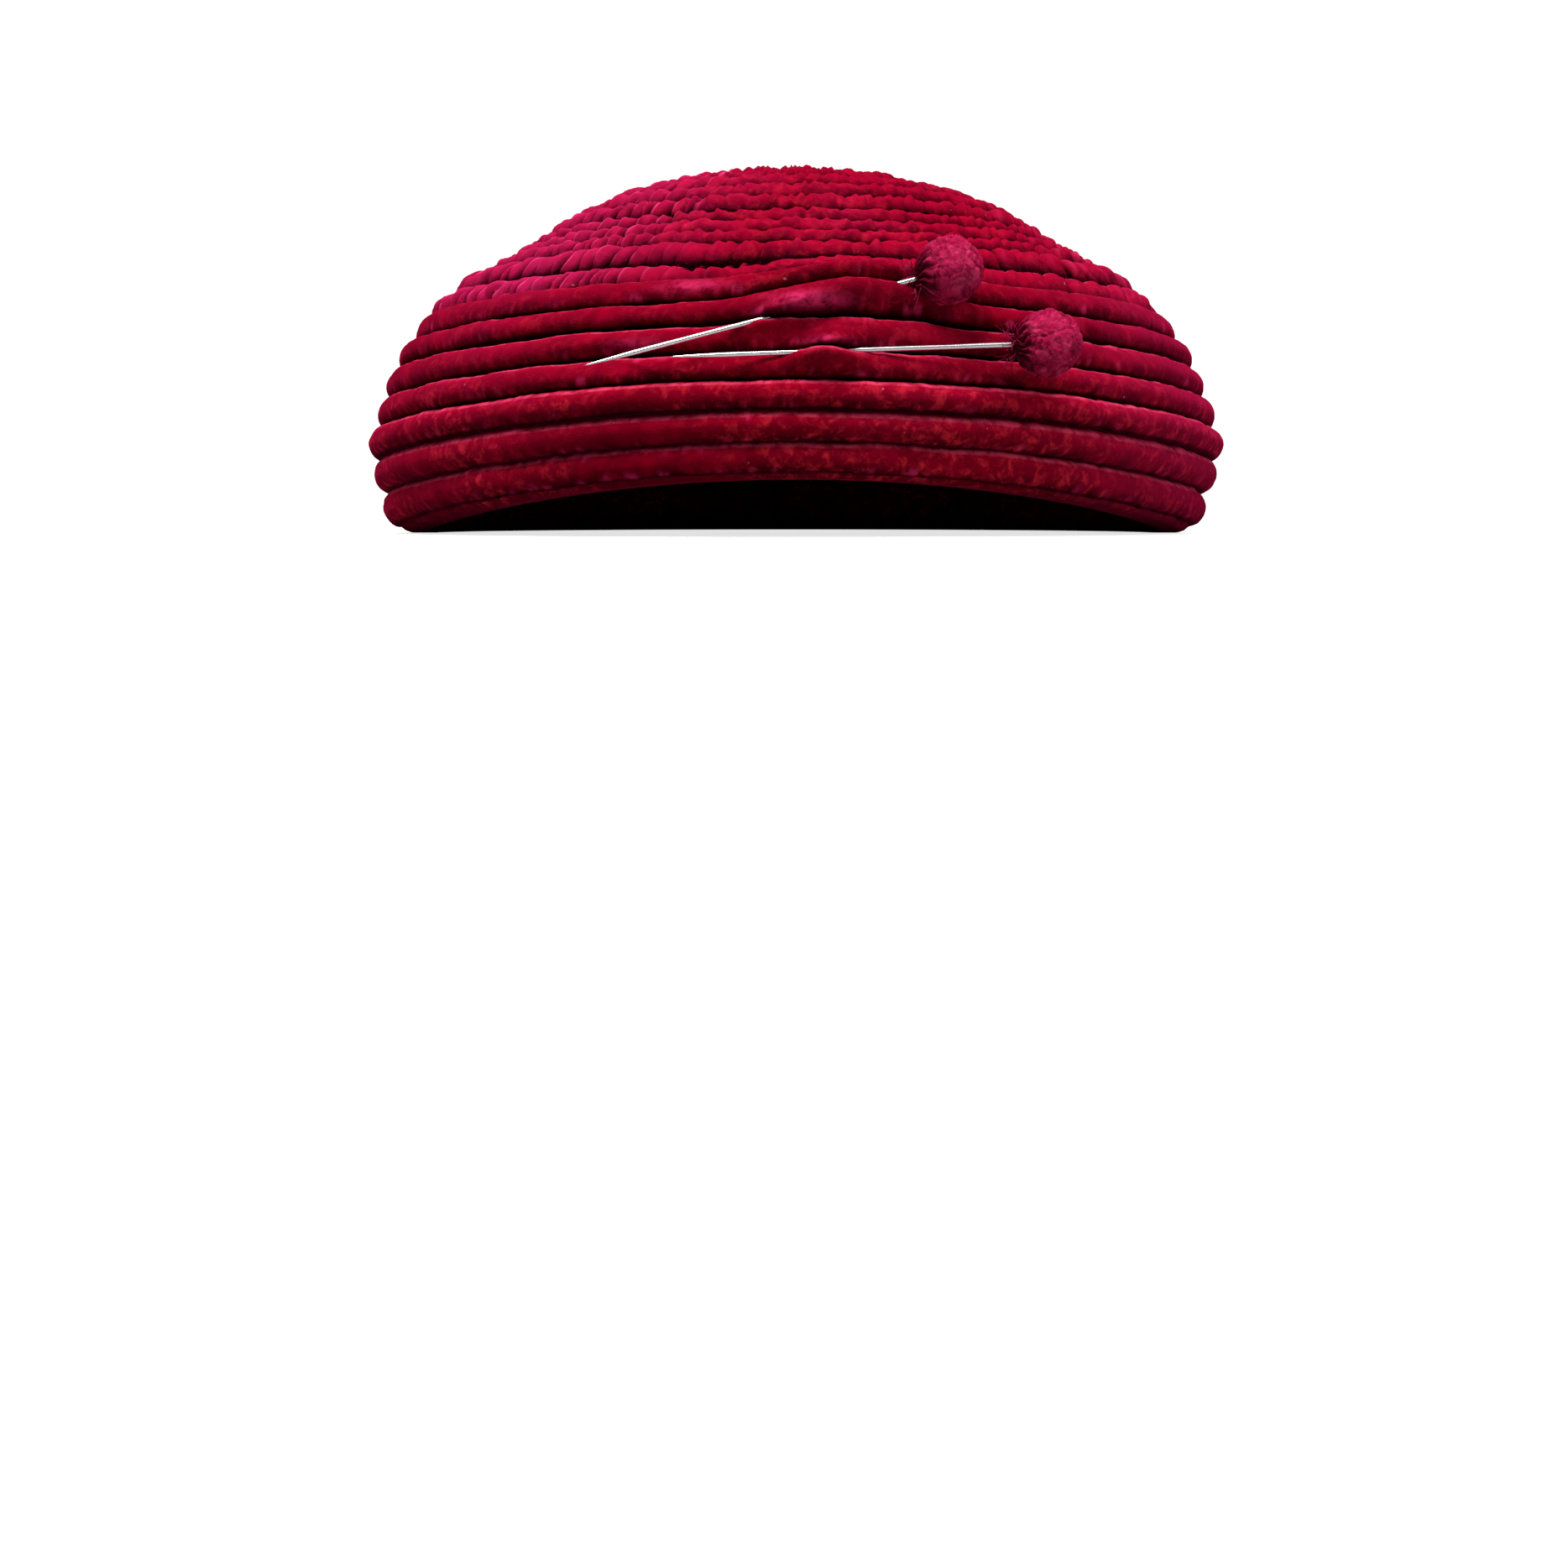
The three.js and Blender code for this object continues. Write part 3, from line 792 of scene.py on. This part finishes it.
def pillows(turn, share, radius, seed):
    # For each point: its place in its pillow, from -1 to 1, the pillow's size and how strongly the nearer
    # crease is drawn in.
    random = np.random.default_rng(seed)
    count = max(5, int(fullTurn * radius / crownShape["pillow"]))
    widths = 1 + crownShape["pillowSpread"] * random.uniform(-1, 1, count)
    widths *= 1 + crownShape["widerRight"] * np.sin(np.linspace(-math.pi, math.pi, count))
    edges = np.concatenate([[0], np.cumsum(widths)]) / widths.sum() * fullTurn - math.pi
    lean = crownShape["slant"] * (share ** 1.5 - 0.4) * fullTurn / count
    wrapped = (turn - lean + math.pi) % fullTurn - math.pi
    cell = np.clip(np.searchsorted(edges, wrapped, side="right") - 1, 0, count - 1)
    middle = (edges[cell] + edges[cell + 1]) / 2
    half = (edges[cell + 1] - edges[cell]) / 2
    size = random.uniform(*crownShape["pillowSizes"], count)[cell]
    drawn = random.uniform(crownShape["weakest"], crownShape["strongest"], count + 1)
    drawn[-1] = drawn[0]
    spot = (wrapped - middle) / half
    return spot, size, drawn[cell + (spot > 0)]


def eased(value, low, high):
    part = np.clip((value - low) / (high - low), 0, 1)
    return part * part * (3 - 2 * part)


grooves = crownGrooves()


def rowSurface(index, turn, share):
    # Points of one crown row: share runs from 0 at its lower groove to 1 at its upper one.
    row = crownRows[index]
    low, high = grooves[index], grooves[index + 1]
    normal = outwards(low, high)
    radius = (low[0] + high[0]) / 2
    spot, size, drawn = pillows(turn, share, radius, crownShape["seed"] + index)
    degrees = np.degrees(turn)
    stepLength = np.linalg.norm(high - low)
    along = (high - low) / stepLength

    # How strongly the cloth is gathered here.
    left = eased(-degrees, *crownShape["leftStart"]) * eased(degrees, *crownShape["leftStop"])
    full = crownShape["sideFrom"] + (crownShape["leftSideFrom"] - crownShape["sideFrom"]) * left
    side = eased(np.abs(degrees - crownShape["frontMiddle"]), crownShape["frontWidth"], full)
    side = side * (crownShape["sidePull"] + (1 - crownShape["sidePull"]) * left)
    drawn = drawn + (1 - drawn) * crownShape["leftDrawn"] * left
    patch = 0.5 + 0.5 * ringNoise(turn, 31.0 * index + 0 * share, crownShape["patchSize"], 5)
    pull = np.clip((row["front"] + (1 - row["front"]) * side) * (0.6 + 0.8 * patch), 0, 1)

    # A pillow stands up at its lower left edge and slopes away from there, like a scale.
    crease = drawn * np.where(spot < 0, np.abs(spot) ** 4, np.abs(spot) ** 2.6)
    bulge = np.sin(math.pi * share) ** crownShape["roundness"]
    height = bulge * (1 - crownShape["squeeze"] * pull * crease) * (1 + 0.5 * pull * (size - 0.9))
    height = height - crownShape["tilt"] * pull * spot * bulge * (1 - np.abs(spot) ** 4)
    lumps = ringNoise(turn, 9.0 * index + 4 * share, crownShape["lumpSize"], 7)
    height = height + crownShape["lump"] * lumps * bulge
    rise = -hat["grooveDepth"] + (row["puff"] * hat["puffHeight"] + hat["grooveDepth"]) * height

    # Holes beside the upper seam at the front, darkened with painted shade, with narrow bridges of cloth
    # between them.
    atFront = eased(degrees, *crownShape["pitsFrom"]) * eased(-degrees, *crownShape["pitsTo"]) * row["pits"]
    upperEdge = eased(share, 0.5, 0.72) * eased(-share, -1.02, -0.9)
    hole = atFront * eased(patch, 0.25, 0.5) * (1 - np.abs(spot) ** 3) * upperEdge
    rise = rise - crownShape["pitDepth"] * hole

    # The seams wander, and each pillow pushes its lower seam down a little.
    wander = crownShape["wander"] * ringNoise(turn, 4.0 * (index + share), crownShape["wanderSize"], 9)
    pinch = (share - 0.5) * 0.3 * pull * crease * stepLength
    pinch = pinch + crownShape["scallop"] * stepLength * pull * (1 - spot ** 2) * size * (1 - share)
    shift = wander * min(1, radius / 20) - pinch
    base = low + (high - low) * share[..., None]
    points = base + normal * rise[..., None] + along * shift[..., None]

    # A painted highlight on the left edge of a pillow and painted shade on its right one, most so on the left
    # of the crown, with some random lightness by pillow size. Creases, low places and holes take painted
    # shade.
    shaded = eased(crease, 0.35, 0.9) * pull
    shaded = shaded * (crownShape["creaseShade"] + crownShape["leftCreaseShade"] * left)
    pit = np.clip(np.clip(1 - height, 0, 1) ** 1.5 * row["pit"] + shaded + hole, 0, 1)
    lit = 1.1 * np.exp(-(((spot + 0.58) / 0.2) ** 2)) * np.sin(math.pi * share) - 0.8 * eased(spot, 0, 0.8)
    litShare = crownShape["rightLit"] + (1 - crownShape["rightLit"]) * left
    paintedLightAndTone = pull * (crownShape["litEdge"] * litShare * drawn * lit + crownShape["litSize"] * (size - 0.95))
    return points, np.stack([np.clip(paintedLightAndTone, -1, 1), 2 * share - 1, pit], -1)


def crownBand(name, first, last, around):
    # A closed ring of rows with the plain back of the cloth under it.
    turn = np.linspace(-math.pi, math.pi, around, endpoint=False)
    columns, naps, gives = [], [], []
    steps = crownShape["stepsAcross"]
    for index in range(first, last):
        ends = steps + 1 if index == last - 1 else steps
        for step in range(ends):
            share = np.full_like(turn, step / steps)
            points, nap = rowSurface(index, turn, share)
            columns.append(points)
            naps.append(nap)
            gives.append(1.0)
    outer = len(columns)
    depth = hat["grooveDepth"] + hat["crownThickness"]
    for index in range(last, first - 1, -1):
        if index == 0:
            columns.append(behindRoll(topRoll, hat["wallThickness"], hat["seamGap"]))
            columns.append(behindRoll(topRoll, 0.0, hat["seamGap"]))
            gives += [0.0, 0.0]
        elif index == len(crownRows):
            columns.append(grooves[index] - np.array([0, depth]))
            gives.append(1.0)
        else:
            columns.append(grooves[index] - outwards(grooves[index - 1], grooves[index + 1]) * depth)
            gives.append(1.0)
    section = np.stack([np.broadcast_to(column, (around, 2)) for column in columns], 1)
    naps += [np.zeros((around, 3))] * (len(columns) - outer)
    radius = np.maximum(section[..., 0], crownShape["smallestRadius"])
    points = place(radius, turn[:, None], section[..., 1], np.array(gives))
    faces = ringFaces(around, section.shape[1], True)
    piece = meshPiece(name, points, faces, crownVelvet, {"nap": np.stack(naps, 1)})
    piece.data.materials.append(backing)
    column = np.arange(len(faces)) % section.shape[1]
    piece.data.polygons.foreach_set("material_index", (column >= outer - 1).astype(np.int32))
    return piece


for number, (first, last, around) in enumerate(crownShape["bands"]):
    piece = crownBand(f"crown_rows_{number + 1}", first, last, around)
    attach(piece, "root")
    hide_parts("crown")
print("crown made")

# Wall behind the rolls, and the velvet turned in under the lowest roll.
wallShape = {"stepsRound": 720}


def wallPiece():
    turn = np.linspace(-math.pi, math.pi, wallShape["stepsRound"], endpoint=False)
    bottom = hat["edgeHeight"] + hat["seamGap"]
    outer = [np.array([wallFoot, bottom])] + [behindRoll(roll, 0.0, 0.0) for roll in rolls]
    inner = [behindRoll(roll, hat["wallThickness"], 0.0) for roll in reversed(rolls)]
    inner.append(np.array([wallFoot - hat["wallThickness"], bottom]))
    section = np.array(outer + inner)
    section = np.broadcast_to(section, (len(turn), *section.shape))
    points = place(section[..., 0], turn[:, None], section[..., 1], 0.0)
    faces = ringFaces(len(turn), section.shape[1], True)
    return meshPiece("side_wall_cloth", points, faces, backing)


wall = wallPiece()
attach(wall, "root")
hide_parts("side_wall")

facingShape = {
    "stepsRound": 720,
    "stepLength": 0.8,
    "setBack": 0.5,
    "gather": 2.6,
    "ridge": 9.0,
    "pucker": 0.28,
    "shade": 0.8,
}


def facingPiece():
    turn = np.linspace(-math.pi, math.pi, facingShape["stepsRound"], endpoint=False)
    back = wallFoot - hat["wallThickness"] - hat["seamGap"]
    front = back - hat["facingThickness"]
    bend = rolls[0]["z"]
    slope = math.tan(math.radians(-rolls[1]["tilt"]))
    spread = (hat["facingHeight"] - bend) * slope
    edge = rolls[0]["x"] - facingShape["setBack"]
    low = hat["edgeHeight"]
    corners = [
        (front, 0), (edge - 0.6 * low, 0), (edge - 0.2 * low, 0.12 * low), (edge + 0.1 * low, 0.4 * low),
        (edge + 0.1 * low, 0.7 * low), (edge, low), (back, low), (back, bend),
        (back + spread, hat["facingHeight"]), (front + spread, hat["facingHeight"]), (front, bend),
    ]
    profile = []
    for a, b in zip(corners, corners[1:] + corners[:1]):
        length = math.dist(a, b)
        parts = max(1, round(length / facingShape["stepLength"]))
        for k in range(parts):
            profile.append([a[0] + (b[0] - a[0]) * k / parts, a[1] + (b[1] - a[1]) * k / parts])
    profile = np.array(profile)
    section = np.broadcast_to(profile, (len(turn), *profile.shape)).copy()
    wave = ringNoise(turn[:, None], section[..., 1] * 0.25, facingShape["gather"], 21)
    ridge = ringNoise(turn[:, None], section[..., 0] * 0.1, facingShape["ridge"], 22)
    free = np.clip(section[..., 1] / low, 0, 1) * (section[..., 0] > edge - 0.7 * low)
    inside = section[..., 0] < front + spread + 0.01
    section[..., 0] += facingShape["pucker"] * (wave + 0.5 * ridge) * np.where(inside, 0.7, free)
    points = place(section[..., 0], turn[:, None], section[..., 1], 0.0)
    shade = np.clip(-wave, 0, 1) * facingShape["shade"]
    nap = np.stack([0 * wave, 0.3 + 0 * wave, shade], -1)
    faces = ringFaces(len(turn), len(profile), True)
    return meshPiece("rim_facing_velvet", points, faces, facingVelvet, {"nap": nap})


facing = facingPiece()
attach(facing, "root")
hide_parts("rim_facing")
print("wall and turned edge made")

# Hatpins: a tapered steel shaft and a ball covered with gathered velvet.
pinShape = {
    "length": 64.5,
    "diameter": 0.85,
    "pointLength": 9,
    "socketDepth": 5,
    "headDiameter": 12.6,
    "neckDiameter": 4.4,
    "neckLength": 1.2,
    "headRings": 120,
    "headSides": 170,
    "shaftRings": 90,
    "shaftSides": 20,
    "taper": 0.62,
    # loose threads at the neck: how many, then their radius, rings and step
    "threads": 26,
    "threadRadius": 0.1,
    "threadRings": 9,
    "threadStep": 0.34,
    # folds of the cloth over the ball: their depths, and how many pleats gather at the neck
    "broadFold": 0.5,
    "ridgeFold": 0.2,
    "fineFold": 0.3,
    "pleats": 14,
    "pleatDepth": 0.8,
}
# side, front and level place a pin's head in shares of half the width, half the length and the band's
# height; yaw and climb turn its shaft, in degrees.
pinColumns = ("name", "side", "front", "level", "yaw", "climb", "seed")
pinTable = [
    ("upper_pin", 0.287, 0.915, 1.036, 7, 14.8, 31),
    ("lower_pin", 0.473, 0.933, 0.753, 5.7, 2.4, 47),
]
pins = [dict(zip(pinColumns, row)) for row in pinTable]


def pinMatrix(pin):
    # Where the middle of a pin's head lies, with the shaft running out along -X from there.
    middle = Vector((
        pin["side"] * hat["width"] / 2,
        -pin["front"] * hat["length"] / 2,
        pin["level"] * bandHeight,
    ))
    turnZ = Matrix.Rotation(math.radians(pin["yaw"]), 4, "Z")
    turnY = Matrix.Rotation(math.radians(-pin["climb"]), 4, "Y")
    return Matrix.Translation(middle * mm) @ turnZ @ turnY


def spunPiece(name, along, radius, sides, matrix, material, reshape=None, threads=None):
    # Turns a profile about the pin's own X axis; the two end points close it. Threads are added to it.
    angle = np.linspace(0, fullTurn, sides, endpoint=False)
    body = np.stack([
        np.broadcast_to(along[1:-1], (sides, len(along) - 2)),
        radius[1:-1] * np.cos(angle)[:, None],
        radius[1:-1] * np.sin(angle)[:, None],
    ], -1)
    points = np.concatenate([body.reshape(-1, 3), [[along[0], 0, 0], [along[-1], 0, 0]]])
    nap = np.zeros_like(points)
    if reshape:
        points, nap = reshape(points)
    across = body.shape[1]
    faces = ringFaces(sides, across, False)[:, ::-1].tolist()
    start, end = len(points) - 2, len(points) - 1
    for i in range(sides):
        after = (i + 1) % sides
        faces.append([start, after * across, i * across][::-1])
        faces.append([end, i * across + across - 1, after * across + across - 1][::-1])
    if threads:
        faces += [[corner + len(points) for corner in face] for face in threads[1]]
        nap = np.concatenate([nap, np.full((len(threads[0]), 3), 0.4)])
        points = np.concatenate([points, threads[0]])
    moved = [list(matrix @ Vector(p)) for p in points * mm]
    return meshPiece(name, moved, faces, material, {"nap": nap})


def shaftPiece(pin):
    end = pinShape["socketDepth"] - pinShape["headDiameter"] / 2
    along = np.linspace(-pinShape["length"], end, pinShape["shaftRings"])
    taper = np.clip((along + pinShape["length"]) / pinShape["pointLength"], 0, 1)
    radius = pinShape["diameter"] / 2 * taper ** pinShape["taper"]
    radius[-1] = 0
    return spunPiece(f"{pin['name']}_steel", along, radius, pinShape["shaftSides"], pinMatrix(pin), steel)


def crumpled(pin):
    # Folds of cloth over the ball, most of them level, and pleats where it is gathered at the neck.
    ball = pinShape["headDiameter"] / 2

    def reshape(points):
        length = np.linalg.norm(points, axis=-1, keepdims=True)
        unit = points / np.maximum(length, 1e-6)
        toNeck = np.clip(-unit[:, 0], -1, 1)
        bend = 0.9 * (np.stack([lattice(unit * 2.3 + 9 + k, pin["seed"] + k) for k in range(3)], -1) - 0.5)
        warped = unit + bend
        broad = lattice(warped * np.array([1.6, 1.6, 3.6]) + 20, pin["seed"] + 5)
        ridge = 1 - np.abs(2 * lattice(warped * np.array([2.6, 2.6, 6.5]) + 70, pin["seed"] + 7) - 1)
        fine = lattice(warped * 9.0 + 50, pin["seed"] + 6) + 0.6 * lattice(unit * 19.0 + 90, pin["seed"] + 8)
        angle = np.arctan2(points[:, 2], points[:, 1])
        pleat = 0.5 + 0.5 * np.sin(angle * pinShape["pleats"] + 9 * bend[:, 0])
        atNeck = np.clip((toNeck - 0.5) / 0.45, 0, 1)
        folds = pinShape["broadFold"] * broad + pinShape["ridgeFold"] * ridge ** 4
        folds = folds + pinShape["fineFold"] * fine
        deep = folds * (1 - 0.4 * atNeck) + pinShape["pleatDepth"] * pleat * atNeck
        scaled = points * (1 - deep[:, None] / ball * np.clip(length / ball, 0, 1))
        # Painted shade in the folds, the pleats and round the neck; the top of the ball is painted lighter.
        shade = ridge ** 5 * 0.35 + np.clip(broad - 0.55, 0, 1) + pleat * atNeck * 0.8 + 0.5 * atNeck
        shade = np.clip(shade, 0, 1)
        return scaled, np.stack([0.5 * fine - shade, 0.5 + 0.3 * unit[:, 2], shade], -1)

    return reshape


def frayedThreads(pin):
    # Loose threads round the neck of a head: thin curled tubes with four sides.
    random = np.random.default_rng(pin["seed"] + 90)
    foot = -pinShape["headDiameter"] / 2 - pinShape["neckLength"]
    points, faces = [], []
    for _ in range(pinShape["threads"]):
        angle = random.uniform(0, fullTurn)
        radial = np.array([0, math.cos(angle), math.sin(angle)])
        side = np.array([0, -radial[2], radial[1]])
        spot = np.array([foot + random.uniform(0.1, 2.0), 0, 0]) + radial * random.uniform(1.6, 2.4)
        heading = radial * random.uniform(0.5, 1.2) + side * random.uniform(-0.6, 0.6)
        heading = heading + np.array([random.uniform(-0.9, 0.1), 0, 0])
        curl = side * random.uniform(-0.3, 0.3) + np.array([random.uniform(-0.25, 0.3), 0, 0]) - radial * 0.15
        steps = pinShape["threadRings"]
        first = len(points)
        for step in range(steps):
            heading = heading / np.linalg.norm(heading)
            across = np.cross(heading, np.array([0.3, 0.5, 0.81]))
            across = across / np.linalg.norm(across)
            thick = pinShape["threadRadius"] * (1 - 0.5 * step / steps)
            for ring in (across, np.cross(heading, across), -across, -np.cross(heading, across)):
                points.append(spot + ring * thick)
            spot = spot + heading * pinShape["threadStep"]
            heading = heading + curl
        for step in range(steps - 1):
            a = first + 4 * step
            for k in range(4):
                faces.append([a + k, a + (k + 1) % 4, a + 4 + (k + 1) % 4, a + 4 + k])
        faces.append([first + 3, first + 2, first + 1, first])
        last = first + 4 * (steps - 1)
        faces.append([last, last + 1, last + 2, last + 3])
    return np.array(points), faces


def headPiece(pin):
    ball = pinShape["headDiameter"] / 2
    neck = pinShape["neckDiameter"] / 2
    startAngle = math.asin(neck / ball)
    angles = np.linspace(startAngle, math.pi, pinShape["headRings"])
    along = -ball * np.cos(angles)
    radius = ball * np.sin(angles)
    foot = along[0] - pinShape["neckLength"]
    collar = np.linspace(0, 1, 8)
    collarAlong = foot + (along[0] - foot) * collar
    collarRadius = neck * (0.86 - 0.2 * np.sin(math.pi * collar) + 0.14 * collar)
    along = np.concatenate([[foot], collarAlong[:-1], along])
    radius = np.concatenate([[0.0], collarRadius[:-1], radius])
    return spunPiece(f"{pin['name']}_ball", along, radius, pinShape["headSides"], pinMatrix(pin),
                     headVelvet, crumpled(pin), frayedThreads(pin))


for pin in pins:
    shaft = shaftPiece(pin)
    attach(shaft, "root")
    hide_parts(f"{pin['name']}_shaft")
    head = headPiece(pin)
    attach(head, "root")
    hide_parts(f"{pin['name']}_head")
print("pins made")

# Floor, lights and camera
studio = {
    "floorReach": 4.0,
    "floorBend": 1.2,
    "floorTop": 3.0,
    "floorSides": 96,
    "bendSteps": 12,
    "lightAim": 0.04,
    "floorSeen": 0.9,
    "floorBounce": 0.25,
    "floorGlow": 0.75,
    "worldColour": (1.0, 1.0, 1.0),
    "worldStrength": 0.62,
}

# Soft lights: power in watts, size in metres, colour and place.
lights = [
    ("key light", 22.0, 0.7, (1.0, 1.0, 1.0), (-0.2, -0.5, 1.2)),
    ("side light", 2.0, 0.7, (1.0, 0.86, 0.95), (-1.1, -0.2, 0.6)),
    ("fill light", 6.0, 0.9, (1.0, 1.0, 1.0), (1.0, -0.8, 0.55)),
]


def floorPiece():
    # A round floor whose edge curves up all round, so that no line shows behind the hat.
    reach = studio["floorReach"]
    bend = studio["floorBend"]
    profile = [(0.02, 0.0), (0.5, 0.0), (1.5, 0.0), (reach - bend, 0.0)]
    for angle in np.linspace(0, math.pi / 2, studio["bendSteps"] + 1)[1:]:
        profile.append((reach - bend + bend * math.sin(angle), bend * (1 - math.cos(angle))))
    profile.append((reach, studio["floorTop"]))
    turn = np.linspace(0, fullTurn, studio["floorSides"], endpoint=False)
    profile = np.array(profile)
    points = np.stack([
        profile[None, :, 0] * np.cos(turn)[:, None],
        profile[None, :, 0] * np.sin(turn)[:, None],
        np.broadcast_to(profile[:, 1], (len(turn), len(profile))),
    ], -1).reshape(-1, 3)
    faces = ringFaces(len(turn), len(profile), False).tolist()
    faces.append([i * len(profile) for i in range(len(turn))])
    # The camera sees a white floor, but only a grey one lights the hat from below.
    material, tree, shader = shaderFor("studio floor")
    seen = Wire(tree, tree.nodes.new("ShaderNodeLightPath").outputs["Is Camera Ray"])
    bounce, bright = studio["floorBounce"], studio["floorSeen"]
    colour = mixed(tree, seen, (bounce, bounce, bounce), (bright, bright, bright))
    tree.links.new(colour.socket, shader.inputs["Base Color"])
    shader.inputs["Emission Color"].default_value = (1.0, 1.0, 1.0, 1.0)
    tree.links.new((seen * studio["floorGlow"]).socket, shader.inputs["Emission Strength"])
    shader.inputs["Roughness"].default_value = 0.9
    return meshPiece("studio_floor", points, faces, material)


floor = floorPiece()


def areaLight(name, power, size, colour, place):
    data = bpy.data.lights.new(name, "AREA")
    data.energy = power
    data.shape = "DISK"
    data.size = size
    data.color = colour
    light = bpy.data.objects.new(name, data)
    light.location = place
    heading = Vector((0, 0, studio["lightAim"])) - Vector(place)
    light.rotation_euler = heading.to_track_quat("-Z", "Y").to_euler()
    bpy.context.scene.collection.objects.link(light)


for light in lights:
    areaLight(*light)
world = bpy.data.worlds.new("studio")
world.use_nodes = True
background = world.node_tree.nodes["Background"].inputs
background["Color"].default_value = (*studio["worldColour"], 1.0)
background["Strength"].default_value = studio["worldStrength"]
bpy.context.scene.world = world

# Camera: where it stands in millimetres, and how many pixels the hat's middle lies above the picture's.
view = {
    "distance": 440,
    "height": 4,
    "side": -2.3,
    "pixelsPerMm": 5.38,
    "pictureWidth": 1868,
    "aimUp": 517,
    "hatMiddle": 39.3,
}
eye = bpy.data.cameras.new("photo view")
focalPixels = view["pixelsPerMm"] * view["distance"]
eye.lens = focalPixels / view["pictureWidth"] * eye.sensor_width
eye.dof.use_dof = False
eye.clip_start = 0.001
camera = bpy.data.objects.new("photo view", eye)
camera.location = (view["side"] * mm, -view["distance"] * mm, view["height"] * mm)
hatMiddle = math.atan2(view["hatMiddle"] - view["height"], view["distance"])
pitch = math.atan2(view["aimUp"], focalPixels) - hatMiddle
camera.rotation_euler = (math.pi / 2 - pitch, 0, 0)
bpy.context.scene.collection.objects.link(camera)
bpy.context.scene.camera = camera
bpy.context.scene.view_settings.view_transform = "Standard"
print("studio made")
